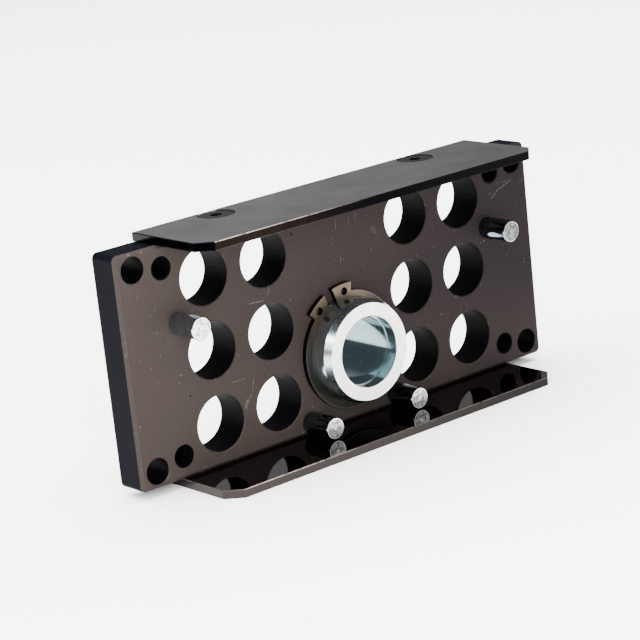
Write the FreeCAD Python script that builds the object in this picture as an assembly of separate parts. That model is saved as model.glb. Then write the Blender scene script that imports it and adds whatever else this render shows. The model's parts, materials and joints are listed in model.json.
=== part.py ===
import FreeCAD, Part
import math
import os

# Holder plate: a drilled plate between two guide plates, with four rest pins
# and a flanged bush that turns in the plate and is held by a circlip.
#
# Millimetres. X runs along the plate, Y from its front face to its rear face,
# Z up. The origin is on the underside of the bottom guide plate, below the
# plate's front face, at the middle of its length.

# main plate
PLATE_LENGTH = 142.0
PLATE_HEIGHT = 61.4
PLATE_THICKNESS = 10.0
PLATE_CORNER_RADIUS = 1.5
PLATE_EDGE_BREAK = 0.85

# through holes of the main plate
HOLE_RADIUS = 7.5
HOLE_PITCH = 19.5
HOLE_INNER_COLUMN_X = 24.75
HOLE_ROWS = 3
HOLE_EDGE_BREAK = 0.25

# holes near the plate's corners
BOLT_HOLE_RADIUS = 3.45
BOLT_HOLE_X = 65.6
BOLT_HOLE_Z = 26.2
TAPPED_HOLE_RADIUS = 3.0
TAPPED_HOLE_X = 57.0
TAPPED_HOLE_Z = 24.7
TAPPED_HOLE_EDGE_BREAK = 0.2

# guide plates above and below
GUIDE_LENGTH = 115.5
GUIDE_THICKNESS = 2.3
GUIDE_REACH = 19.5
GUIDE_CORNER = 4.0
GUIDE_EDGE_BREAK = 0.2

# countersunk M5 screws that hold the guide plates
SCREW_X = HOLE_INNER_COLUMN_X + HOLE_PITCH / 2
SCREW_Y = PLATE_THICKNESS / 2
SCREW_RADIUS = 2.5
SCREW_LENGTH = 10.0
SCREW_HEAD_RADIUS = 4.6
SCREW_HEAD_RIM = 0.2
SCREW_RECESS = 0.15
SCREW_POINT_BEVEL = 0.6
SCREW_HOLE_SPARE = 0.5
SOCKET_ACROSS_FLATS = 3.0
SOCKET_DEPTH = 1.6

# rest pins, each with a thinner shank that is pressed into a blind hole
PIN_RADIUS = 3.0
PIN_REACH = 9.8
PIN_EDGE_BREAK = 0.25
PIN_SHANK_RADIUS = 2.5
PIN_SHANK_LENGTH = 7.5
PIN_SEAT_DEPTH = 8.0
SIDE_PIN_X = 54.0
SIDE_PIN_Z = 9.7
LOWER_PIN_X = 15.0
LOWER_PIN_Z = -27.6

# swivel bush, its seat in the plate and its circlip
BUSH_Z = -10.7
BUSH_RADIUS = 14.0
BUSH_REACH = 8.8
BUSH_BEVEL_LENGTH = 2.1
BUSH_FACE_RADIUS = 13.1
BUSH_CLEARANCE = 0.05
BUSH_FLANGE_RADIUS = 15.75
BUSH_FLANGE_LENGTH = 3.7
BUSH_FLANGE_GAP = 0.1
BUSH_TAIL_RADIUS = 12.0
BUSH_TAIL_REACH = 4.1
BUSH_EDGE_BREAK = 0.4
FLANGE_SEAT_RADIUS = 15.9
FLANGE_SEAT_DEPTH = 4.0
BORE_RADIUS = 9.3
COUNTERBORE_RADIUS = 9.5
COUNTERBORE_DEPTH = 3.6
BORE_EDGE_BREAK = 0.15
GROOVE_RADIUS = 13.3
GROOVE_WIDTH = 1.6
CLIP_GAP_TO_PLATE = 0.15
CLIP_THICKNESS = 1.5
CLIP_OUTER_RADIUS = 15.95
CLIP_OFFSET = 0.45
CLIP_OPENING = 3.0
CLIP_OPENING_ANGLE = 110.0
LUG_OUTER_RADIUS = 17.85
LUG_HALF_SPAN = 26.5
LUG_HOLE_RADIUS = 1.1
LUG_HOLE_ORBIT = 15.75
LUG_HOLE_ANGLE = 17.7

# shop details that every hole shares
DRILL_TIP_ANGLE = math.radians(30)
CUT_OVERRUN = 1.0

CENTRE_Z = GUIDE_THICKNESS + PLATE_HEIGHT / 2
TOTAL_HEIGHT = PLATE_HEIGHT + 2 * GUIDE_THICKNESS
ALONG_Y = FreeCAD.Vector(0, 1, 0)
ALONG_Z = FreeCAD.Vector(0, 0, 1)


def point(x, y, z):
    """A point whose height is counted from the middle of the main plate."""
    return FreeCAD.Vector(x, y, CENTRE_Z + z)


def turned(profile, x, z):
    """A solid turned about a line along Y at x, z. The profile is (y, radius) pairs."""
    corners = [point(x + radius, y, z) for y, radius in profile]
    face = Part.Face(Part.makePolygon(corners + [corners[0]]))
    return face.revolve(point(x, 0, z), ALONG_Y, 360)


def drilled_through(x, z, radius, edge_break):
    """The space of a hole through the main plate, with a small bevel at each face."""
    mouth = radius + edge_break + CUT_OVERRUN
    return turned([
        (-CUT_OVERRUN, 0),
        (-CUT_OVERRUN, mouth),
        (edge_break, radius),
        (PLATE_THICKNESS - edge_break, radius),
        (PLATE_THICKNESS + CUT_OVERRUN, mouth),
        (PLATE_THICKNESS + CUT_OVERRUN, 0),
    ], x, z)


def drilled_blind(x, z, radius, depth):
    """The space of a blind hole in the front face, with the cone that a drill leaves."""
    return turned([
        (-CUT_OVERRUN, 0),
        (-CUT_OVERRUN, radius),
        (depth, radius),
        (depth + radius * math.tan(DRILL_TIP_ANGLE), 0),
    ], x, z)


def bush_seat():
    """The bush's bore through the plate, opened at the rear for its flange."""
    front_mouth = BUSH_RADIUS + BUSH_CLEARANCE + HOLE_EDGE_BREAK
    rear_mouth = FLANGE_SEAT_RADIUS + HOLE_EDGE_BREAK
    ledge = PLATE_THICKNESS - FLANGE_SEAT_DEPTH
    return turned([
        (-CUT_OVERRUN, 0),
        (-CUT_OVERRUN, front_mouth + CUT_OVERRUN),
        (HOLE_EDGE_BREAK, BUSH_RADIUS + BUSH_CLEARANCE),
        (ledge, BUSH_RADIUS + BUSH_CLEARANCE),
        (ledge, FLANGE_SEAT_RADIUS),
        (PLATE_THICKNESS - HOLE_EDGE_BREAK, FLANGE_SEAT_RADIUS),
        (PLATE_THICKNESS + CUT_OVERRUN, rear_mouth + CUT_OVERRUN),
        (PLATE_THICKNESS + CUT_OVERRUN, 0),
    ], 0, BUSH_Z)


def mirrored_places(x, z):
    """The four places that mirror each other left to right and top to bottom."""
    return [(side * x, level * z) for side in (-1, 1) for level in (-1, 1)]


def big_hole_places():
    """Two columns of holes on each side of the middle."""
    columns = [HOLE_INNER_COLUMN_X, HOLE_INNER_COLUMN_X + HOLE_PITCH]
    rows = [(row - (HOLE_ROWS - 1) / 2) * HOLE_PITCH for row in range(HOLE_ROWS)]
    return [(side * x, z) for side in (-1, 1) for x in columns for z in rows]


def pin_places():
    return {
        "left_pin": (-SIDE_PIN_X, SIDE_PIN_Z),
        "right_pin": (SIDE_PIN_X, SIDE_PIN_Z),
        "lower_left_pin": (-LOWER_PIN_X, LOWER_PIN_Z),
        "lower_right_pin": (LOWER_PIN_X, LOWER_PIN_Z),
    }


def screw_places():
    return {
        "top_left_screw": (-SCREW_X, 1),
        "top_right_screw": (SCREW_X, 1),
        "bottom_left_screw": (-SCREW_X, -1),
        "bottom_right_screw": (SCREW_X, -1),
    }


def screw_frame(shape, x, level):
    """Moves a screw-shaped solid from its own axis to a top (1) or bottom (-1) place."""
    if level < 0:
        shape.rotate(FreeCAD.Vector(0, 0, 0), FreeCAD.Vector(1, 0, 0), 180)
    outer_face = TOTAL_HEIGHT if level > 0 else 0.0
    shape.translate(FreeCAD.Vector(x, SCREW_Y, outer_face))
    return shape


def turned_on_z(profile):
    """A solid turned about Z from (z, radius) pairs."""
    corners = [FreeCAD.Vector(radius, 0, z) for z, radius in profile]
    face = Part.Face(Part.makePolygon(corners + [corners[0]]))
    return face.revolve(FreeCAD.Vector(0, 0, 0), ALONG_Z, 360)


def screw_hole_space():
    """Right-angled countersink and tapped hole for one screw, down from the guide's face."""
    seat = SCREW_HEAD_RADIUS + SCREW_RECESS + SCREW_HEAD_RIM
    depth = -SCREW_LENGTH - SCREW_HOLE_SPARE
    tip = depth - SCREW_RADIUS * math.tan(DRILL_TIP_ANGLE)
    return turned_on_z([
        (CUT_OVERRUN, 0),
        (CUT_OVERRUN, seat + CUT_OVERRUN),
        (SCREW_RADIUS - seat, SCREW_RADIUS),
        (depth, SCREW_RADIUS),
        (tip, 0),
    ])


def screw():
    """Countersunk screw with a hexagon socket."""
    slope = SCREW_HEAD_RADIUS - SCREW_RADIUS
    body = turned_on_z([
        (-SCREW_RECESS, 0),
        (-SCREW_RECESS, SCREW_HEAD_RADIUS),
        (-SCREW_RECESS - SCREW_HEAD_RIM, SCREW_HEAD_RADIUS),
        (-SCREW_RECESS - SCREW_HEAD_RIM - slope, SCREW_RADIUS),
        (-SCREW_LENGTH + SCREW_POINT_BEVEL, SCREW_RADIUS),
        (-SCREW_LENGTH, SCREW_RADIUS - SCREW_POINT_BEVEL),
        (-SCREW_LENGTH, 0),
    ])
    sixth_turn = math.pi / 3
    corner_radius = SOCKET_ACROSS_FLATS / 2 / math.cos(sixth_turn / 2)
    corners = [
        FreeCAD.Vector(
            corner_radius * math.cos(sixth_turn * k),
            corner_radius * math.sin(sixth_turn * k),
            CUT_OVERRUN,
        )
        for k in range(7)
    ]
    depth = CUT_OVERRUN + SCREW_RECESS + SOCKET_DEPTH
    socket = Part.Face(Part.makePolygon(corners)).extrude(FreeCAD.Vector(0, 0, -depth))
    return body.cut(socket)


def main_plate():
    """Drilled plate with bevelled edges, seats for the pins and a bore for the bush."""
    corner = FreeCAD.Vector(-PLATE_LENGTH / 2, 0, GUIDE_THICKNESS)
    plate = Part.makeBox(PLATE_LENGTH, PLATE_THICKNESS, PLATE_HEIGHT, corner)
    corners = [edge for edge in plate.Edges if edge.BoundBox.YLength > PLATE_THICKNESS / 2]
    plate = plate.makeFillet(PLATE_CORNER_RADIUS, corners)
    rims = [edge for edge in plate.Edges if edge.BoundBox.YLength < PLATE_EDGE_BREAK]
    plate = plate.makeChamfer(PLATE_EDGE_BREAK, rims)
    spaces = [bush_seat()]
    for x, z in big_hole_places():
        spaces.append(drilled_through(x, z, HOLE_RADIUS, HOLE_EDGE_BREAK))
    for x, z in mirrored_places(BOLT_HOLE_X, BOLT_HOLE_Z):
        spaces.append(drilled_through(x, z, BOLT_HOLE_RADIUS, HOLE_EDGE_BREAK))
    for x, z in mirrored_places(TAPPED_HOLE_X, TAPPED_HOLE_Z):
        spaces.append(drilled_through(x, z, TAPPED_HOLE_RADIUS, TAPPED_HOLE_EDGE_BREAK))
    for x, z in pin_places().values():
        spaces.append(drilled_blind(x, z, PIN_SHANK_RADIUS, PIN_SEAT_DEPTH))
    for x, level in screw_places().values():
        spaces.append(screw_frame(screw_hole_space(), x, level))
    return plate.cut(spaces)


def guide_plate(level):
    """Flat bar with bevelled front corners, on the plate's top (1) or bottom (-1) edge."""
    half = GUIDE_LENGTH / 2
    low = TOTAL_HEIGHT - GUIDE_THICKNESS if level > 0 else 0.0
    outline = [
        (-half, PLATE_THICKNESS),
        (-half, GUIDE_CORNER - GUIDE_REACH),
        (GUIDE_CORNER - half, -GUIDE_REACH),
        (half - GUIDE_CORNER, -GUIDE_REACH),
        (half, GUIDE_CORNER - GUIDE_REACH),
        (half, PLATE_THICKNESS),
    ]
    corners = [FreeCAD.Vector(x, y, low) for x, y in outline]
    face = Part.Face(Part.makePolygon(corners + [corners[0]]))
    bar = face.extrude(FreeCAD.Vector(0, 0, GUIDE_THICKNESS))
    bar = bar.makeChamfer(GUIDE_EDGE_BREAK, bar.Edges)
    spaces = [screw_frame(screw_hole_space(), side * SCREW_X, level) for side in (-1, 1)]
    return bar.cut(spaces)


def rest_pin(x, z):
    """Turned pin that stands on the plate's front face, with its shank in the plate."""
    return turned([
        (-PIN_REACH, 0),
        (-PIN_REACH, PIN_RADIUS - PIN_EDGE_BREAK),
        (-PIN_REACH + PIN_EDGE_BREAK, PIN_RADIUS),
        (0, PIN_RADIUS),
        (0, PIN_SHANK_RADIUS),
        (PIN_SHANK_LENGTH - PIN_EDGE_BREAK, PIN_SHANK_RADIUS),
        (PIN_SHANK_LENGTH, PIN_SHANK_RADIUS - PIN_EDGE_BREAK),
        (PIN_SHANK_LENGTH, 0),
    ], x, z)


def swivel_bush():
    """Hollow bush with a circlip groove in front of the plate and a flange let into its rear."""
    groove_back = -CLIP_GAP_TO_PLATE
    groove_front = groove_back - GROOVE_WIDTH
    flange_front = PLATE_THICKNESS - FLANGE_SEAT_DEPTH + BUSH_FLANGE_GAP
    flange_back = flange_front + BUSH_FLANGE_LENGTH
    tail_end = PLATE_THICKNESS + BUSH_TAIL_REACH
    step = -BUSH_REACH + COUNTERBORE_DEPTH
    return turned([
        (-BUSH_REACH, COUNTERBORE_RADIUS + BORE_EDGE_BREAK),
        (-BUSH_REACH, BUSH_FACE_RADIUS),
        (-BUSH_REACH + BUSH_BEVEL_LENGTH, BUSH_RADIUS),
        (groove_front, BUSH_RADIUS),
        (groove_front, GROOVE_RADIUS),
        (groove_back, GROOVE_RADIUS),
        (groove_back, BUSH_RADIUS),
        (flange_front, BUSH_RADIUS),
        (flange_front, BUSH_FLANGE_RADIUS),
        (flange_back - BUSH_EDGE_BREAK, BUSH_FLANGE_RADIUS),
        (flange_back, BUSH_FLANGE_RADIUS - BUSH_EDGE_BREAK),
        (flange_back, BUSH_TAIL_RADIUS),
        (tail_end - BUSH_EDGE_BREAK, BUSH_TAIL_RADIUS),
        (tail_end, BUSH_TAIL_RADIUS - BUSH_EDGE_BREAK),
        (tail_end, BORE_RADIUS + BUSH_EDGE_BREAK),
        (tail_end - BUSH_EDGE_BREAK, BORE_RADIUS),
        (step, BORE_RADIUS),
        (step, COUNTERBORE_RADIUS),
        (-BUSH_REACH + BORE_EDGE_BREAK, COUNTERBORE_RADIUS),
    ], 0, BUSH_Z)


def circlip():
    """External retaining ring with two plier lugs, thinner towards its opening."""
    def disc(radius, x=0.0, z=0.0):
        return Part.makeCylinder(radius, CLIP_THICKNESS, FreeCAD.Vector(x, 0, z), ALONG_Y)

    far_side = 2 * LUG_OUTER_RADIUS
    ring = disc(CLIP_OUTER_RADIUS, -CLIP_OFFSET)
    half_span = math.radians(LUG_HALF_SPAN)
    wedge = [
        FreeCAD.Vector(0, 0, 0),
        FreeCAD.Vector(far_side * math.cos(half_span), 0, -far_side * math.sin(half_span)),
        FreeCAD.Vector(far_side * math.cos(half_span), 0, far_side * math.sin(half_span)),
    ]
    sector = Part.Face(Part.makePolygon(wedge + [wedge[0]]))
    sector = sector.extrude(FreeCAD.Vector(0, CLIP_THICKNESS, 0))
    lugs = disc(LUG_OUTER_RADIUS).common(sector)
    slot = Part.makeBox(
        far_side, CLIP_THICKNESS, CLIP_OPENING, FreeCAD.Vector(0, 0, -CLIP_OPENING / 2)
    )
    clip = ring.fuse(lugs).removeSplitter().cut([disc(GROOVE_RADIUS), slot])
    for side in (-1, 1):
        angle = math.radians(side * LUG_HOLE_ANGLE)
        x = LUG_HOLE_ORBIT * math.cos(angle)
        z = LUG_HOLE_ORBIT * math.sin(angle)
        clip = clip.cut(disc(LUG_HOLE_RADIUS, x, z))
    clip.rotate(FreeCAD.Vector(0, 0, 0), ALONG_Y, -CLIP_OPENING_ANGLE)
    clip.translate(point(0, -CLIP_GAP_TO_PLATE - CLIP_THICKNESS, BUSH_Z))
    return clip


def all_parts():
    parts = {
        "main_plate": main_plate(),
        "top_guide_plate": guide_plate(1),
        "bottom_guide_plate": guide_plate(-1),
        "swivel_bush": swivel_bush(),
        "circlip": circlip(),
    }
    for name, (x, level) in screw_places().items():
        parts[name] = screw_frame(screw(), x, level)
    for name, (x, z) in pin_places().items():
        parts[name] = rest_pin(x, z)
    return parts


os.makedirs("parts", exist_ok=True)
for name, shape in all_parts().items():
    solids = shape.Solids
    if len(solids) != 1 or not solids[0].isValid():
        raise ValueError(name + " is not one valid solid")
    solids[0].exportStep("parts/" + name + ".step")
    box = solids[0].BoundBox
    print(name, [round(v, 2) for v in (box.XMin, box.XMax, box.YMin, box.YMax, box.ZMin, box.ZMax)])
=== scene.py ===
import json
import math

import bmesh
import bpy
from mathutils import Matrix, Vector


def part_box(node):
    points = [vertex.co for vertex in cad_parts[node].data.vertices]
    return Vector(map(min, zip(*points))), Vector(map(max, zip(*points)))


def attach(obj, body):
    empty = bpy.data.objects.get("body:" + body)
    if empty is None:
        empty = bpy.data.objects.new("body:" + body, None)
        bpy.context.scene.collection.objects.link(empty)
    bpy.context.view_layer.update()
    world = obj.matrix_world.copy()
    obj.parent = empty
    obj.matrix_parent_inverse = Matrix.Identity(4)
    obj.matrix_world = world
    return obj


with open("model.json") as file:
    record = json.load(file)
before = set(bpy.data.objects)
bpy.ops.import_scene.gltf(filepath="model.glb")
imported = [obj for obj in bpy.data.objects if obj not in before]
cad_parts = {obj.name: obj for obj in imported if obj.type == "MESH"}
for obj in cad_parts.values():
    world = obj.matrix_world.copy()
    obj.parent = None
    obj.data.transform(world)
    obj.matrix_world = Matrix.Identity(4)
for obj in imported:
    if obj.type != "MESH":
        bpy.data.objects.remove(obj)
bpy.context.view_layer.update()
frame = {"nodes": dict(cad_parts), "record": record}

MM = 0.001
NODES = frame["nodes"]
MOUNTS = {mount["name"]: mount for mount in frame["record"]["mounts"]}


# ---------------------------------------------------------------- helpers

def linear(hex_colour):
    """An sRGB hex colour as linear RGBA."""
    channels = [int(hex_colour[i:i + 2], 16) / 255 for i in (1, 3, 5)]
    light = [c / 12.92 if c <= 0.04045 else ((c + 0.055) / 1.055) ** 2.4 for c in channels]
    return (*light, 1.0)


def add(tree, kind, inputs=None, **settings):
    """Adds a shader node of a kind, such as Math. An input is named or numbered, and is given a
    constant, a socket to link from, or a node, which means that node's first live output."""
    made = tree.nodes.new("ShaderNode" + kind)
    for name, value in settings.items():
        setattr(made, name, value)
    for name, value in (inputs or {}).items():
        if isinstance(value, bpy.types.Node):
            value = next(socket for socket in value.outputs if socket.enabled)
        if isinstance(value, bpy.types.NodeSocket):
            tree.links.new(value, made.inputs[name])
        else:
            made.inputs[name].default_value = value
    return made


SOFT_STEP = {"interpolation_type": "SMOOTHSTEP"}
RGB = {"data_type": "RGBA"}
FIRST_COLOUR, SECOND_COLOUR = 6, 7   # a colour Mix node's two colour sockets
FIRST_VECTOR, SECOND_VECTOR = 4, 5   # and a vector Mix node's two vector sockets

# How far a face's normal leans on an axis, as the start and end of a soft step: a face square to
# the axis is past the first pair, and a face that runs along the axis is past the second.
SQUARE_LEAN = (0.9, 0.97)
ALONG_LEAN = (0.3, 0.15)


def new_finish(name):
    """An empty material, its node tree, the shaded point in millimetres and its normal."""
    material = bpy.data.materials.new(name)
    material.use_nodes = True
    tree = material.node_tree
    tree.nodes.clear()
    coordinates = add(tree, "TexCoord")
    place = add(tree, "VectorMath", {0: coordinates.outputs["Object"], 1: (1 / MM,) * 3},
                operation="MULTIPLY")
    return material, tree, place, coordinates.outputs["Normal"]


def turned_parts(tree, normal, axis="Y"):
    """Shares of the faces square to an axis, of the edge bevels, and of what runs along it."""
    split = add(tree, "SeparateXYZ", {0: normal})
    lean = add(tree, "Math", {0: split.outputs[axis]}, operation="ABSOLUTE")
    flat = add(tree, "MapRange", {"Value": lean, "From Min": SQUARE_LEAN[0],
                                  "From Max": SQUARE_LEAN[1]}, **SOFT_STEP)
    along = add(tree, "MapRange", {"Value": lean, "From Min": ALONG_LEAN[0],
                                   "From Max": ALONG_LEAN[1]}, **SOFT_STEP)
    both = add(tree, "Math", {0: flat, 1: along}, operation="ADD")
    bevel = add(tree, "Math", {0: 1.0, 1: both}, operation="SUBTRACT", use_clamp=True)
    return flat, bevel, along


# ---------------------------------------------------------------- camera

PLATE_LOW, PLATE_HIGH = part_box("main_plate")
PLATE_MIDDLE = (PLATE_LOW + PLATE_HIGH) / 2

CAMERA_AIM = PLATE_MIDDLE + Vector((-5.54, -1.36, -2.34)) * MM
CAMERA_AZIMUTH = math.radians(-38.76)
CAMERA_ELEVATION = math.radians(15.05)
CAMERA_ROLL = math.radians(6.18)
CAMERA_DISTANCE = 647.7 * MM
CAMERA_LENS = 137.4
CAMERA_SENSOR = 36.0
CAMERA_NEAR, CAMERA_FAR = 0.01, 100.0

camera = bpy.data.objects.new("camera", bpy.data.cameras.new("camera"))
bpy.context.scene.collection.objects.link(camera)
bpy.context.scene.camera = camera
camera.data.lens = CAMERA_LENS
camera.data.sensor_width = CAMERA_SENSOR
camera.data.clip_start = CAMERA_NEAR
camera.data.clip_end = CAMERA_FAR
away = Vector((
    math.sin(CAMERA_AZIMUTH) * math.cos(CAMERA_ELEVATION),
    -math.cos(CAMERA_AZIMUTH) * math.cos(CAMERA_ELEVATION),
    math.sin(CAMERA_ELEVATION),
))
camera.matrix_world = (
    Matrix.Translation(CAMERA_AIM + away * CAMERA_DISTANCE)
    @ (-away).to_track_quat("-Z", "Y").to_matrix().to_4x4()
    @ Matrix.Rotation(-CAMERA_ROLL, 4, "Z")
)


# ---------------------------------------------------------------- floor, world and lights

FLOOR_SIZE = 6.0
PAPER_CLOUDS_PER_MM = 0.004
ROOM_GLOW = 0.08
BACKDROP_GLOW = 3.0
# What polished surfaces see in the dim room: each panel's direction, the cosines of its soft
# outer and inner edge, and its glow. They are a wide dim wall behind, a small bright panel high
# on the left with a dim one over it, and a small panel low in front at the right.
ROOM_PANELS = [
    ((0.34, 0.90, 0.25), 0.84, 1.0, 0.60),
    ((-0.865, 0.04, 0.50), 0.955, 0.975, 14.0),
    ((-0.60, 0.06, 0.80), 0.84, 0.96, 0.8),
    ((0.60, -0.75, 0.28), 0.92, 0.97, 2.0),
]
# name, power in watts, width, place and the point it faces
SOFTBOXES = [
    ("overhead_softbox", 125.0, 1.8, (0.1, 0.3, 1.0), (0.1, 0.3, 0.0)),
    ("front_softbox", 5.0, 0.3, (-0.22, -0.34, 0.16), (0.0, 0.0, 0.03)),
]


def make_floor():
    """White paper under and round the holder."""
    mesh = bmesh.new()
    bmesh.ops.create_grid(mesh, x_segments=1, y_segments=1, size=FLOOR_SIZE)
    data = bpy.data.meshes.new("floor")
    mesh.to_mesh(data)
    mesh.free()
    floor = bpy.data.objects.new("floor", data)
    bpy.context.scene.collection.objects.link(floor)
    # smooth white paper, so a dull white with clouds wider than a hand that hardly show
    material, tree, place, _ = new_finish("white_paper_sweep")
    clouds = add(tree, "TexNoise", {"Vector": place, "Scale": PAPER_CLOUDS_PER_MM,
                                    "Detail": 3})
    colour = add(tree, "Mix", {"Factor": clouds, FIRST_COLOUR: linear("#f4f4f4"),
                               SECOND_COLOUR: linear("#f8f8f7")}, **RGB)
    shader = add(tree, "BsdfPrincipled", {"Base Color": colour, "Roughness": 0.9,
                                          "Specular IOR Level": 0.1})
    add(tree, "OutputMaterial", {"Surface": shader})
    data.materials.append(material)


def make_room():
    """A dim room with a few white panels, and a pale backdrop past the floor's far edge. Each
    panel's glow is added to the light so far."""
    world = bpy.data.worlds.new("studio")
    bpy.context.scene.world = world
    world.use_nodes = True
    tree = world.node_tree
    tree.nodes.clear()
    coordinates = add(tree, "TexCoord")
    light = ROOM_GLOW
    for direction, outer, inner, glow in ROOM_PANELS:
        toward = add(tree, "VectorMath", {0: coordinates.outputs["Generated"],
                                          1: Vector(direction).normalized()},
                     operation="DOT_PRODUCT")
        panel = add(tree, "MapRange", {"Value": toward, "From Min": outer, "From Max": inner},
                    **SOFT_STEP)
        light = add(tree, "Math", {0: panel, 1: glow, 2: light}, operation="MULTIPLY_ADD")
    rays = add(tree, "LightPath")
    seen = add(tree, "Mix", {"Factor": rays.outputs["Is Camera Ray"], "A": light,
                             "B": BACKDROP_GLOW})
    background = add(tree, "Background", {"Color": linear("#ffffff"), "Strength": seen})
    add(tree, "OutputWorld", {"Surface": background})


def hang_softbox(name, power, width, place, aim):
    """A square soft light, left out of polished surfaces' reflections."""
    lamp = bpy.data.lights.new(name, "AREA")
    lamp.size = width
    lamp.energy = power
    holder = bpy.data.objects.new(name, lamp)
    bpy.context.scene.collection.objects.link(holder)
    holder.visible_glossy = False
    holder.matrix_world = (
        Matrix.Translation(place)
        @ (Vector(aim) - Vector(place)).to_track_quat("-Z", "Y").to_matrix().to_4x4()
    )


make_floor()
make_room()
for softbox in SOFTBOXES:
    hang_softbox(*softbox)


# ---------------------------------------------------------------- plate and guides

# Millimetres from the plate's centre, along it and up it. Walls nearer than both are the holes'.
PLATE_END = 70.2
PLATE_BRIM = 30.2

# Millimetres of x and z over which painted light makes the face paler, from full black to palest:
# more light towards the left end, and a painted fill just over the bottom guide.
PLATE_PAINTED_LIGHT_X = (75.0, -70.0)
PLATE_PAINTED_FILL_Z = (36.0, 3.0)

# How many lumps of each noise fit in a millimetre: the dye fades in clouds as wide as a thumb,
# the cut ends are mottled, the bevels wear in spots that are also painted glints, and the
# blasting grain is drawn half a millimetre across so that it shows.
FADE_CLOUDS_PER_MM = 0.045
MOTTLE_PER_MM = 0.12
WEAR_AND_GLINT_PER_MM = 0.6
GRAIN_PER_MM = 2.0
GRAIN_DEPTH = 0.02 * MM      # how deep the blasting has bitten

# Dust and tiny chips, large and fine: mean spacing and size in millimetres, the share of the
# places that hold one, and how strongly it shows.
PLATE_DUST = [(3.7, 0.3, 0.3, 0.35), (1.6, 0.28, 0.22, 0.2)]

# Scratches and rubs on the plate's front, in millimetres of x and z: start, end, width and how
# strongly each shows.
PLATE_SCRATCHES = [
    ((-31, 42), (-26.5, 41.7), 0.22, 0.42),
    ((-25, 42.7), (-24, 44.3), 0.25, 0.2),
    ((-39.5, 23.1), (-35.5, 23), 0.25, 0.2),
    ((-32.5, 22), (-33.2, 18.6), 0.25, 0.25),
    ((-33.2, 18.6), (-35.3, 16.7), 0.3, 0.2),
    ((-35, 17), (-36, 15.3), 0.6, 0.3),
    ((56.8, 50.3), (59.1, 52), 0.25, 0.26),
    ((59.1, 52), (62, 53.1), 0.25, 0.26),
    ((62, 53.1), (64.8, 53.8), 0.2, 0.2),
    ((60.2, 53.8), (63.9, 54.1), 0.2, 0.14),
    ((68, 52.5), (70, 53.4), 0.25, 0.16),
    ((0.3, 57), (0, 54.5), 0.3, 0.16),
    ((4.8, 56.5), (4.6, 54.4), 0.3, 0.12),
    ((7.2, 57.3), (7, 55.4), 0.3, 0.12),
    ((0.8, 47.2), (0.6, 45.3), 0.3, 0.14),
    ((12.6, 52.2), (13.5, 50.7), 0.8, 0.1),
]
# Pits through the dye: centre and radius.
PLATE_PITS = [((-15, 56.7), 0.5), ((6, 20), 0.3), ((-53, 23.3), 0.3)]
PIT_LENGTH = 0.1
MARK_CORE = 0.3       # the share of a scratch's or a speck's width that is at full strength


def scratch(tree, place, start, end, width):
    """1 in a scratch between two (x, z) points of the plate's front, 0 outside it."""
    begin = Vector((start[0], 0.0, start[1]))
    run = Vector((end[0], 0.0, end[1])) - begin
    offset = add(tree, "VectorMath", {0: place, 1: begin}, operation="SUBTRACT")
    along = add(tree, "VectorMath", {0: offset, 1: run.normalized()}, operation="DOT_PRODUCT")
    held = add(tree, "Clamp", {"Value": along, "Min": 0.0, "Max": run.length})
    nearest = add(tree, "VectorMath", {0: run.normalized(), "Scale": held}, operation="SCALE")
    apart = add(tree, "VectorMath", {0: offset, 1: nearest}, operation="DISTANCE")
    return add(tree, "MapRange", {"Value": apart, "From Min": width,
                                  "From Max": MARK_CORE * width}, **SOFT_STEP)


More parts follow.
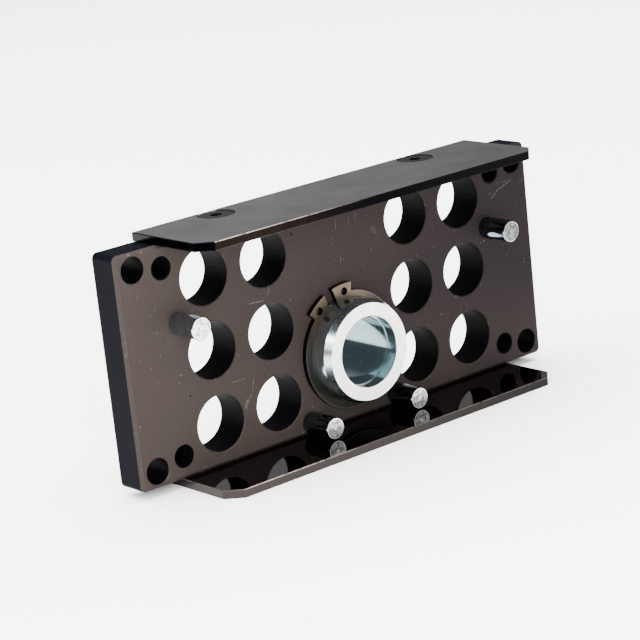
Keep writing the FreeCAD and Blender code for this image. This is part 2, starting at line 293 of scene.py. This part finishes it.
def plate_finish():
    """Black anodised aluminium, milled and blasted: a brown-grey dye that has faded unevenly in
    clouds, painted paler towards the left end and over the bottom guide as painted light, dull on
    the faces, bluer and smoother where the cutter left the ends and holes."""
    material, tree, place, normal = new_finish("matt_black_anodised_plate")
    _, bevel, along = turned_parts(tree, normal)
    where = add(tree, "SeparateXYZ", {0: place})

    # painted light: the face is painted paler towards the left end, where more light falls, and
    # just over the bottom guide, against the shade there; the dye has also faded in soft clouds
    painted_light_and_fade = add(tree, "MapRange", {"Value": where.outputs["X"], "From Min": PLATE_PAINTED_LIGHT_X[0],
                                  "From Max": PLATE_PAINTED_LIGHT_X[1], "To Min": -0.15,
                                  "To Max": 0.85})
    lower = add(tree, "MapRange", {"Value": where.outputs["Z"], "From Min": PLATE_PAINTED_FILL_Z[0],
                                   "From Max": PLATE_PAINTED_FILL_Z[1]}, **SOFT_STEP)
    painted_light_and_fade = add(tree, "Math", {0: lower, 1: 0.4, 2: painted_light_and_fade}, operation="MULTIPLY_ADD")
    clouds = add(tree, "TexNoise", {"Vector": place, "Scale": FADE_CLOUDS_PER_MM, "Detail": 4})
    painted_light_and_fade = add(tree, "Math", {0: clouds, 1: 0.3, 2: painted_light_and_fade}, operation="MULTIPLY_ADD",
               use_clamp=True)
    face = add(tree, "Mix", {"Factor": painted_light_and_fade, FIRST_COLOUR: linear("#191516"),
                             SECOND_COLOUR: linear("#2b2624")}, **RGB)
    # the blasting grain
    grain = add(tree, "TexNoise", {"Vector": place, "Scale": GRAIN_PER_MM, "Detail": 4,
                                   "Roughness": 0.65})
    grain_light = add(tree, "MapRange", {"Value": grain, "From Min": 0.25, "From Max": 0.75,
                                         "To Min": 0.74, "To Max": 1.26})
    face = add(tree, "VectorMath", {0: face, "Scale": grain_light}, operation="SCALE")
    # the scratches skip over the grain
    skips = add(tree, "MapRange", {"Value": grain, "From Min": 0.35, "From Max": 0.6},
                **SOFT_STEP)
    for start, end, width, strength in PLATE_SCRATCHES:
        mark = scratch(tree, place, start, end, width)
        mark = add(tree, "Math", {0: mark, 1: skips}, operation="MULTIPLY")
        mark = add(tree, "Math", {0: mark, 1: strength}, operation="MULTIPLY")
        face = add(tree, "Mix", {"Factor": mark, FIRST_COLOUR: face,
                                 SECOND_COLOUR: linear("#67625e")}, **RGB)
    for (pit_x, pit_z), radius in PLATE_PITS:
        pit = scratch(tree, place, (pit_x, pit_z), (pit_x + PIT_LENGTH, pit_z), radius)
        face = add(tree, "Mix", {"Factor": pit, FIRST_COLOUR: face,
                                 SECOND_COLOUR: linear("#050404")}, **RGB)

    # the ends, and the holes' walls, which are darker still
    mottle = add(tree, "TexNoise", {"Vector": place, "Scale": MOTTLE_PER_MM, "Detail": 5})
    outside = add(tree, "Mix", {"Factor": mottle, FIRST_COLOUR: linear("#030406"),
                                SECOND_COLOUR: linear("#08090e")}, **RGB)
    hole = add(tree, "Mix", {"Factor": mottle, FIRST_COLOUR: linear("#020203"),
                             SECOND_COLOUR: linear("#050405")}, **RGB)
    from_middle = add(tree, "Math", {0: where.outputs["Z"], 1: PLATE_MIDDLE.z / MM},
                      operation="SUBTRACT")
    from_middle = add(tree, "Math", {0: from_middle}, operation="ABSOLUTE")
    from_centre = add(tree, "Math", {0: where.outputs["X"]}, operation="ABSOLUTE")
    within = add(tree, "Math", {0: from_middle, 1: PLATE_BRIM}, operation="LESS_THAN")
    within_ends = add(tree, "Math", {0: from_centre, 1: PLATE_END}, operation="LESS_THAN")
    within = add(tree, "Math", {0: within, 1: within_ends}, operation="MULTIPLY")
    walls = add(tree, "Mix", {"Factor": within, FIRST_COLOUR: outside, SECOND_COLOUR: hole},
                **RGB)

    # the bevels are worn to bare metal in a few places, and the pale spots are also painted
    # glints on the rims
    wear_and_glint = add(tree, "TexNoise", {"Vector": place, "Scale": WEAR_AND_GLINT_PER_MM, "Detail": 5})
    worn_and_glinting = add(tree, "MapRange", {"Value": wear_and_glint, "From Min": 0.6, "From Max": 0.85,
                                  "To Max": 0.45}, **SOFT_STEP)
    rim = add(tree, "Mix", {"Factor": worn_and_glinting, FIRST_COLOUR: face, SECOND_COLOUR: linear("#847c75")},
              **RGB)

    colour = add(tree, "Mix", {"Factor": along, FIRST_COLOUR: face, SECOND_COLOUR: walls}, **RGB)
    # dust lies everywhere but in the holes
    in_hole = add(tree, "Math", {0: along, 1: within}, operation="MULTIPLY")
    open_air = add(tree, "Math", {0: 1.0, 1: in_hole}, operation="SUBTRACT")
    for spacing, size, share, strength in PLATE_DUST:
        dust = add(tree, "TexVoronoi", {"Vector": place, "Scale": 1 / spacing})
        speck = add(tree, "MapRange", {"Value": dust, "From Min": size / spacing,
                                       "From Max": MARK_CORE * size / spacing}, **SOFT_STEP)
        lottery = add(tree, "SeparateColor", {0: dust.outputs["Color"]})
        kept = add(tree, "Math", {0: lottery, 1: share}, operation="LESS_THAN")
        speck = add(tree, "Math", {0: speck, 1: kept}, operation="MULTIPLY")
        speck = add(tree, "Math", {0: speck, 1: open_air}, operation="MULTIPLY")
        speck = add(tree, "Math", {0: speck, 1: strength}, operation="MULTIPLY")
        colour = add(tree, "Mix", {"Factor": speck, FIRST_COLOUR: colour,
                                   SECOND_COLOUR: linear("#726e6a")}, **RGB)
    colour = add(tree, "Mix", {"Factor": bevel, FIRST_COLOUR: colour, SECOND_COLOUR: rim}, **RGB)
    roughness = add(tree, "MapRange", {"Value": along, "To Min": 0.45, "To Max": 0.5})
    bump = add(tree, "Bump", {"Height": grain, "Strength": 0.2, "Distance": GRAIN_DEPTH})
    shader = add(tree, "BsdfPrincipled", {"Base Color": colour, "Roughness": roughness,
                                          "Specular IOR Level": 0.012, "Normal": bump})
    add(tree, "OutputMaterial", {"Surface": shader})
    return material


BOTTOM_GUIDE_BELOW = 10.0     # millimetres up: of the two guides, only the bottom one is lower
GRIT_PER_MM = 2.0             # grinding grit, which is too fine to show, drawn half a millimetre
SMEARS_PER_MM = 0.1
CHIPS_PER_MM = 0.8
EDGE_RUB_X = (0.0, -45.0)     # millimetres of x over which the top guide's front edge is rubbed
EDGE_FADE_X = (70.0, -20.0)   # and over which the bottom one's fades
EDGE_LEAN = (0.5, 0.3)        # the front edge's normal leans on X less than this


def guide_finish():
    """Black anodised aluminium, ground smooth: black when faced, a mirror at a low angle.
    The dyed layer behaves like a very dark metal, so it is one with almost no colour."""
    material, tree, place, normal = new_finish("gloss_black_anodised_guide")
    level, bevel, upright = turned_parts(tree, normal, axis="Z")
    where = add(tree, "SeparateXYZ", {0: place})
    facing = add(tree, "SeparateXYZ", {0: normal})
    low = add(tree, "Math", {0: where.outputs["Z"], 1: BOTTOM_GUIDE_BELOW},
              operation="LESS_THAN")

    grit = add(tree, "TexNoise", {"Vector": place, "Scale": GRIT_PER_MM, "Detail": 3})
    smears = add(tree, "TexNoise", {"Vector": place, "Scale": SMEARS_PER_MM, "Detail": 3})
    ground = add(tree, "Mix", {"Factor": 0.4, "A": grit, "B": smears})
    polished = add(tree, "Mix", {"Factor": ground, FIRST_COLOUR: linear("#050506"),
                                 SECOND_COLOUR: linear("#141415")}, **RGB)
    gritted = add(tree, "MapRange", {"Value": ground, "From Min": 0.38, "From Max": 0.66})
    colour = add(tree, "Mix", {"Factor": gritted, FIRST_COLOUR: linear("#0a0a0b"),
                               SECOND_COLOUR: linear("#464647")}, **RGB)
    colour = add(tree, "Mix", {"Factor": low, FIRST_COLOUR: colour, SECOND_COLOUR: polished},
                 **RGB)

    # the top guide's front edge is rubbed brown at the left; the bottom one's is faded all along
    side = add(tree, "Math", {0: facing.outputs["X"]}, operation="ABSOLUTE")
    front = add(tree, "MapRange", {"Value": side, "From Min": EDGE_LEAN[0],
                                   "From Max": EDGE_LEAN[1]}, **SOFT_STEP)
    left = add(tree, "MapRange", {"Value": where.outputs["X"], "From Min": EDGE_RUB_X[0],
                                  "From Max": EDGE_RUB_X[1]}, **SOFT_STEP)
    rubbed = add(tree, "Math", {0: left, 1: front}, operation="MULTIPLY")
    chips = add(tree, "TexNoise", {"Vector": place, "Scale": CHIPS_PER_MM, "Detail": 4})
    brown = add(tree, "Mix", {"Factor": chips, FIRST_COLOUR: linear("#080606"),
                              SECOND_COLOUR: linear("#19120f")}, **RGB)
    top_edge = add(tree, "Mix", {"Factor": rubbed, FIRST_COLOUR: linear("#010102"),
                                 SECOND_COLOUR: brown}, **RGB)
    fading = add(tree, "MapRange", {"Value": where.outputs["X"], "From Min": EDGE_FADE_X[0],
                                    "From Max": EDGE_FADE_X[1]}, **SOFT_STEP)
    low_edge = add(tree, "Mix", {"Factor": fading, FIRST_COLOUR: linear("#171617"),
                                 SECOND_COLOUR: linear("#312d2b")}, **RGB)
    edge = add(tree, "Mix", {"Factor": low, FIRST_COLOUR: top_edge, SECOND_COLOUR: low_edge},
               **RGB)
    colour = add(tree, "Mix", {"Factor": upright, FIRST_COLOUR: colour, SECOND_COLOUR: edge},
                 **RGB)

    # the bevels are dull, and paler where the upper ones are worn through; the pale line is also
    # a painted highlight along the edges, strongest where they face up
    reach = add(tree, "Math", {0: low, 1: 0.2}, operation="MULTIPLY")
    reach = add(tree, "Math", {0: reach, 1: rubbed}, operation="MAXIMUM")
    upward_highlight = add(tree, "MapRange", {"Value": facing.outputs["Z"], "From Min": -0.2,
                                   "From Max": 0.2, "To Min": 0.15})
    reach = add(tree, "Math", {0: reach, 1: upward_highlight}, operation="MULTIPLY")
    worn_and_glinting = add(tree, "MapRange", {"Value": chips, "From Min": 0.2, "From Max": 0.55},
               **SOFT_STEP)
    worn_and_glinting = add(tree, "Math", {0: worn_and_glinting, 1: reach}, operation="MULTIPLY")
    line = add(tree, "Mix", {"Factor": worn_and_glinting, FIRST_COLOUR: linear("#060607"),
                             SECOND_COLOUR: linear("#7a6f6a")}, **RGB)
    colour = add(tree, "Mix", {"Factor": bevel, FIRST_COLOUR: colour, SECOND_COLOUR: line},
                 **RGB)
    # the bottom guide has been polished by use, the top one still shows the grit, which
    # scatters a little light
    ground_metal = add(tree, "MapRange", {"Value": low, "To Min": 0.88, "To Max": 1.0})
    smooth = add(tree, "Math", {0: 1.0, 1: bevel}, operation="SUBTRACT")
    metal = add(tree, "Mix", {"Factor": level, "A": smooth, "B": ground_metal})
    gritty = add(tree, "MapRange", {"Value": grit, "From Min": 0.3, "From Max": 0.7,
                                    "To Min": 0.1, "To Max": 0.2})
    roughness = add(tree, "Mix", {"Factor": low, "A": gritty, "B": 0.05})
    roughness = add(tree, "Mix", {"Factor": bevel, "A": roughness, "B": 0.7})
    shader = add(tree, "BsdfPrincipled", {"Base Color": colour, "Metallic": metal,
                                          "Roughness": roughness, "Specular IOR Level": 0.02})
    add(tree, "OutputMaterial", {"Surface": shader})
    return material


OXIDE_PER_MM = 1.2


def screw_finish():
    """Black oxide steel, dull from tumbling, a little uneven where the oxide took."""
    material, tree, place, _ = new_finish("black_oxide_screw")
    oxide = add(tree, "TexNoise", {"Vector": place, "Scale": OXIDE_PER_MM, "Detail": 3})
    colour = add(tree, "Mix", {"Factor": oxide, FIRST_COLOUR: linear("#272728"),
                               SECOND_COLOUR: linear("#3c3c3d")}, **RGB)
    shader = add(tree, "BsdfPrincipled", {"Base Color": colour, "Metallic": 1.0,
                                          "Roughness": 0.42})
    add(tree, "OutputMaterial", {"Surface": shader})
    return material


# ---------------------------------------------------------------- bush, clip and pins

BUSH_LOW, BUSH_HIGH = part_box("swivel_bush")
BUSH_AXIS = (BUSH_LOW + BUSH_HIGH) / 2 / MM
BORE_OUTER = 9.8                       # millimetres: the bore and its counterbore are inside this
BUSH_RING_SPACING = 0.7                # millimetres, coarser than the tool's so that they show
HAZE_PER_MM = 0.7
SQUARE_TO_Y = (1.0, 0.0, 1.0)

CLIP_OPENING_ANGLE = math.radians(110)
CLIP_OPENING = Vector((math.cos(CLIP_OPENING_ANGLE), 0.0, math.sin(CLIP_OPENING_ANGLE)))
CLIP_OFFSET = 0.45                     # its ring sits off the bush's axis, away from the opening
CLIP_CENTRE = -CLIP_OFFSET * CLIP_OPENING
CLIP_TURN_OVER = (15.6, 15.85)         # millimetres from its centre: its pale outer line, a painted highlight on the rounded edge
CLIP_LUG_RADIUS = (16.5, 16.7)         # millimetres from the bush's axis: its lugs begin here
LUG_LEAN = (0.42, 0.94)                # cosines round from the opening: the ring in painted shade, the lugs clear of it
TEMPER_PER_MM = 0.6


def from_bush_axis(tree, place):
    """The point's offset from the bush's axis, square to it, and that offset's length."""
    offset = add(tree, "VectorMath", {0: place, 1: BUSH_AXIS}, operation="SUBTRACT")
    spread = add(tree, "VectorMath", {0: offset, 1: SQUARE_TO_Y}, operation="MULTIPLY")
    radius = add(tree, "VectorMath", {0: spread}, operation="LENGTH")
    return spread, radius


def bush_finish():
    """Bright zinc plate over turned steel: a faint blue passivation, the face left as the tool
    cut it, in fine rings, and the bore and outside nearly a mirror."""
    material, tree, place, normal = new_finish("bright_zinc_plated_bush")
    flat, _, along = turned_parts(tree, normal)
    _, radius = from_bush_axis(tree, place)
    haze = add(tree, "TexNoise", {"Vector": place, "Scale": HAZE_PER_MM, "Detail": 5})
    outside = add(tree, "Mix", {"Factor": haze, FIRST_COLOUR: linear("#aab8c1"),
                                SECOND_COLOUR: linear("#d5dee2")}, **RGB)
    bore = add(tree, "Mix", {"Factor": haze, FIRST_COLOUR: linear("#5c7277"),
                             SECOND_COLOUR: linear("#82979b")}, **RGB)
    bored = add(tree, "Math", {0: radius, 1: BORE_OUTER}, operation="LESS_THAN")
    plating = add(tree, "Mix", {"Factor": bored, FIRST_COLOUR: outside, SECOND_COLOUR: bore},
                  **RGB)
    # the facing tool's rings, faint in places
    turns = add(tree, "Math", {0: radius, 1: 2 * math.pi / BUSH_RING_SPACING},
                operation="MULTIPLY")
    rings = add(tree, "Math", {0: turns}, operation="SINE")
    rings = add(tree, "Math", {0: rings, 1: haze}, operation="MULTIPLY")
    rings = add(tree, "Math", {0: rings, 1: 0.35, 2: haze}, operation="MULTIPLY_ADD",
                use_clamp=True)
    face = add(tree, "Mix", {"Factor": rings, FIRST_COLOUR: linear("#a3a6a4"),
                             SECOND_COLOUR: linear("#f4f0ec")}, **RGB)
    colour = add(tree, "Mix", {"Factor": flat, FIRST_COLOUR: plating, SECOND_COLOUR: face},
                 **RGB)
    roughness = add(tree, "MapRange", {"Value": along, "To Min": 0.22, "To Max": 0.12})
    # hazy plating scatters a little light, most of all in the bore
    metal = add(tree, "MapRange", {"Value": bored, "To Min": 0.985, "To Max": 0.93})
    shader = add(tree, "BsdfPrincipled", {"Base Color": colour, "Metallic": metal,
                                          "Roughness": roughness})
    add(tree, "OutputMaterial", {"Surface": shader})
    return material


def clip_finish():
    """Spring steel, tempered brown: a satin stamped face, painted darker away from its lugs as
    painted shade, with a painted highlight along its outer edge, and sheared edges painted near
    black as painted shade."""
    material, tree, place, normal = new_finish("tempered_spring_steel_clip")
    _, _, along = turned_parts(tree, normal)
    spread, radius = from_bush_axis(tree, place)
    # painted shade: the face is painted darker away from its lugs, for the bush's shadow on it
    # and the bush mirrored in it
    direction = add(tree, "VectorMath", {0: spread}, operation="NORMALIZE")
    to_lugs = add(tree, "VectorMath", {0: direction, 1: CLIP_OPENING}, operation="DOT_PRODUCT")
    lugs = add(tree, "MapRange", {"Value": to_lugs, "From Min": LUG_LEAN[0],
                                  "From Max": LUG_LEAN[1]}, **SOFT_STEP)
    temper = add(tree, "TexNoise", {"Vector": place, "Scale": TEMPER_PER_MM, "Detail": 4})
    painted_shade_ring = add(tree, "Mix", {"Factor": temper, FIRST_COLOUR: linear("#0f0f0e"),
                             SECOND_COLOUR: linear("#1c1b18")}, **RGB)
    lug = add(tree, "Mix", {"Factor": temper, FIRST_COLOUR: linear("#3f372e"),
                            SECOND_COLOUR: linear("#574b3f")}, **RGB)
    face = add(tree, "Mix", {"Factor": lugs, FIRST_COLOUR: painted_shade_ring, SECOND_COLOUR: lug}, **RGB)
    # a painted highlight: a pale line where the stamped face turns over its outer edge
    from_centre = add(tree, "VectorMath", {0: spread, 1: CLIP_CENTRE}, operation="DISTANCE")
    turn_over = add(tree, "MapRange", {"Value": from_centre, "From Min": CLIP_TURN_OVER[0],
                                       "From Max": CLIP_TURN_OVER[1], "To Max": 0.4},
                    **SOFT_STEP)
    off_lugs = add(tree, "MapRange", {"Value": radius, "From Min": CLIP_LUG_RADIUS[1],
                                      "From Max": CLIP_LUG_RADIUS[0]})
    line = add(tree, "Math", {0: turn_over, 1: off_lugs}, operation="MULTIPLY")
    face = add(tree, "Mix", {"Factor": line, FIRST_COLOUR: face,
                             SECOND_COLOUR: linear("#57503f")}, **RGB)
    # painted shade: the clip's sheared edges are painted near black for the shade and dark
    # reflection on its side wall
    colour = add(tree, "Mix", {"Factor": along, FIRST_COLOUR: face,
                               SECOND_COLOUR: linear("#040404")}, **RGB)
    shader = add(tree, "BsdfPrincipled", {"Base Color": colour, "Metallic": 0.8,
                                          "Roughness": 0.4})
    add(tree, "OutputMaterial", {"Surface": shader})
    return material


UPPER_PIN = (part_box("right_pin")[0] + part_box("right_pin")[1]) / 2 / MM
LOWER_PIN = (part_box("lower_right_pin")[0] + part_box("lower_right_pin")[1]) / 2 / MM
# In millimetres: the spacing of the rings on a pin's end, the radii where its burnished rim and
# centre pip begin and are full, and the x over which ends grow darker and sides darker, the
# upper left pin's paler side being a painted reflection.
PIN_RING_SPACING = 0.8
PIN_RIM = (2.4, 2.7)
PIN_PIP = (0.7, 0.3)
PIN_END_DARKENS_X = (20.0, 50.0)
PIN_SIDE_DARKENS_X = (-50.0, -20.0)
TOOL_MARKS_PER_MM = 0.9
DRAWN_PER_MM = 0.5


def pin_finish():
    """Plain turned steel: drawn smooth along its side, its end faced off in coarse rings."""
    material, tree, place, normal = new_finish("turned_steel_pin")
    flat, _, _ = turned_parts(tree, normal)
    where = add(tree, "SeparateXYZ", {0: place})
    # every pin's distance from its own axis; the pins are mirrored left to right
    mirrored = add(tree, "VectorMath", {0: place}, operation="ABSOLUTE")
    mirrored = add(tree, "VectorMath", {0: mirrored, 1: SQUARE_TO_Y}, operation="MULTIPLY")
    upper = add(tree, "Math", {0: where.outputs["Z"], 1: (UPPER_PIN.z + LOWER_PIN.z) / 2},
                operation="GREATER_THAN")
    axis = add(tree, "Mix", {"Factor": upper,
                             FIRST_VECTOR: (LOWER_PIN.x, 0.0, LOWER_PIN.z),
                             SECOND_VECTOR: (UPPER_PIN.x, 0.0, UPPER_PIN.z)},
               data_type="VECTOR")
    radius = add(tree, "VectorMath", {0: mirrored, 1: axis}, operation="DISTANCE")
    turns = add(tree, "Math", {0: radius, 1: 2 * math.pi / PIN_RING_SPACING},
                operation="MULTIPLY")
    rings = add(tree, "Math", {0: turns}, operation="SINE")
    marks = add(tree, "TexNoise", {"Vector": place, "Scale": TOOL_MARKS_PER_MM, "Detail": 1.0})
    faced = add(tree, "MapRange", {"Value": marks, "From Min": 0.35, "From Max": 0.65})
    faced = add(tree, "Math", {0: rings, 1: 0.2, 2: faced}, operation="MULTIPLY_ADD",
                use_clamp=True)
    end = add(tree, "Mix", {"Factor": faced, FIRST_COLOUR: linear("#7b7c7c"),
                            SECOND_COLOUR: linear("#dededc")}, **RGB)
    # its rim and its centre pip are burnished
    rim = add(tree, "MapRange", {"Value": radius, "From Min": PIN_RIM[0],
                                 "From Max": PIN_RIM[1]}, **SOFT_STEP)
    pip = add(tree, "MapRange", {"Value": radius, "From Min": PIN_PIP[0],
                                 "From Max": PIN_PIP[1]}, **SOFT_STEP)
    burnished = add(tree, "Math", {0: rim, 1: pip}, operation="ADD")
    end = add(tree, "Mix", {"Factor": burnished, FIRST_COLOUR: end,
                            SECOND_COLOUR: linear("#f6f6f4")}, **RGB)
    # the ends grow darker towards the right, over the upper right pin's end
    dull = add(tree, "MapRange", {"Value": where.outputs["X"], "From Min": PIN_END_DARKENS_X[0],
                                  "From Max": PIN_END_DARKENS_X[1], "To Min": 1.0, "To Max": 0.2})
    end = add(tree, "VectorMath", {0: end, "Scale": dull}, operation="SCALE")
    drawn = add(tree, "TexNoise", {"Vector": place, "Scale": DRAWN_PER_MM, "Detail": 3})
    side = add(tree, "Mix", {"Factor": drawn, FIRST_COLOUR: linear("#5b666e"),
                             SECOND_COLOUR: linear("#828d94")}, **RGB)
    # painted reflection: the upper left pin's side is painted paler, for the plate's front
    # mirrored in it
    painted_reflection_mask = add(tree, "MapRange", {"Value": where.outputs["X"],
                                     "From Min": PIN_SIDE_DARKENS_X[0],
                                     "From Max": PIN_SIDE_DARKENS_X[1]})
    side = add(tree, "Mix", {"Factor": painted_reflection_mask, FIRST_COLOUR: linear("#b4c0ca"),
                             SECOND_COLOUR: side}, **RGB)
    colour = add(tree, "Mix", {"Factor": flat, FIRST_COLOUR: side, SECOND_COLOUR: end}, **RGB)
    roughness = add(tree, "MapRange", {"Value": flat, "To Min": 0.12, "To Max": 0.28})
    shader = add(tree, "BsdfPrincipled", {"Base Color": colour, "Metallic": 1.0,
                                          "Roughness": roughness})
    add(tree, "OutputMaterial", {"Surface": shader})
    return material


FINISHES = [
    (plate_finish(), ["main_plate"]),
    (guide_finish(), ["top_guide_plate", "bottom_guide_plate"]),
    (screw_finish(), ["top_left_screw", "top_right_screw", "bottom_left_screw",
                      "bottom_right_screw"]),
    (bush_finish(), ["swivel_bush"]),
    (clip_finish(), ["circlip"]),
    (pin_finish(), ["left_pin", "right_pin", "lower_left_pin", "lower_right_pin"]),
]
for finish, pieces in FINISHES:
    for piece in pieces:
        for slot in NODES[piece].material_slots:
            slot.material = finish


# ---------------------------------------------------------------- corner threads

THREAD_PITCH = 1.0 * MM
THREAD_CORE_RADIUS = 2.5 * MM
THREAD_ROOT_RADIUS = 3.02 * MM       # just into the plate's wall, so that no gap shows
THREAD_CREST_WIDTH = 0.2 * MM
THREAD_ROOT_WIDTH = 0.88 * MM
THREAD_START = 0.1 * MM              # below each face of the plate
THREAD_STEPS = 36                    # in one turn
SPARE_TURNS = 2                      # wound past the plate's faces, then cut off
WELD = 1e-7
DYE_PER_MM = 1.5


def thread_finish():
    """The same black dye on the cut flanks of the thread, which stay in the dark."""
    material, tree, place, _ = new_finish("black_anodised_thread")
    dye = add(tree, "TexNoise", {"Vector": place, "Scale": DYE_PER_MM, "Detail": 3})
    colour = add(tree, "Mix", {"Factor": dye, FIRST_COLOUR: linear("#010101"),
                               SECOND_COLOUR: linear("#040404")}, **RGB)
    shader = add(tree, "BsdfPrincipled", {"Base Color": colour, "Roughness": 0.5,
                                          "Specular IOR Level": 0.01})
    add(tree, "OutputMaterial", {"Surface": shader})
    return material


def make_corner_threads():
    """The ridge of an M6 thread in each of the plate's four tapped holes, which stops just short
    of both faces, as a countersunk thread does."""
    spacing = MOUNTS["corner_tapped_holes"]["dims"]
    half_width = spacing["spacing_x_mm"] / 2 * MM
    half_height = spacing["spacing_y_mm"] / 2 * MM
    turns = math.ceil((PLATE_HIGH.y - PLATE_LOW.y) / THREAD_PITCH) + SPARE_TURNS
    mesh = bmesh.new()
    for x in (-half_width, half_width):
        for z in (PLATE_MIDDLE.z - half_height, PLATE_MIDDLE.z + half_height):
            section = mesh.faces.new([
                mesh.verts.new((x + radius, PLATE_LOW.y - THREAD_PITCH + half * width / 2, z))
                for radius, width, half in (
                    (THREAD_ROOT_RADIUS, THREAD_ROOT_WIDTH, -1),
                    (THREAD_CORE_RADIUS, THREAD_CREST_WIDTH, -1),
                    (THREAD_CORE_RADIUS, THREAD_CREST_WIDTH, 1),
                    (THREAD_ROOT_RADIUS, THREAD_ROOT_WIDTH, 1),
                )
            ])
            bmesh.ops.spin(
                mesh, geom=[section], cent=(x, 0.0, z), axis=(0.0, 1.0, 0.0),
                dvec=(0.0, THREAD_PITCH / THREAD_STEPS, 0.0), angle=2 * math.pi * turns,
                steps=THREAD_STEPS * turns, use_merge=False,
            )
    for level, outward in ((PLATE_LOW.y + THREAD_START, -1), (PLATE_HIGH.y - THREAD_START, 1)):
        cut = bmesh.ops.bisect_plane(
            mesh, geom=[*mesh.verts, *mesh.edges, *mesh.faces], dist=WELD,
            plane_co=(0.0, level, 0.0), plane_no=(0.0, outward, 0.0), clear_outer=True,
        )
        rims = [edge for edge in cut["geom_cut"] if isinstance(edge, bmesh.types.BMEdge)]
        bmesh.ops.holes_fill(mesh, edges=rims)
    bmesh.ops.remove_doubles(mesh, verts=mesh.verts, dist=WELD)
    bmesh.ops.recalc_face_normals(mesh, faces=mesh.faces)
    data = bpy.data.meshes.new("corner_threads")
    mesh.to_mesh(data)
    mesh.free()
    threads = bpy.data.objects.new("corner_threads", data)
    bpy.context.scene.collection.objects.link(threads)
    data.materials.append(thread_finish())
    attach(threads, "plate")


make_corner_threads()
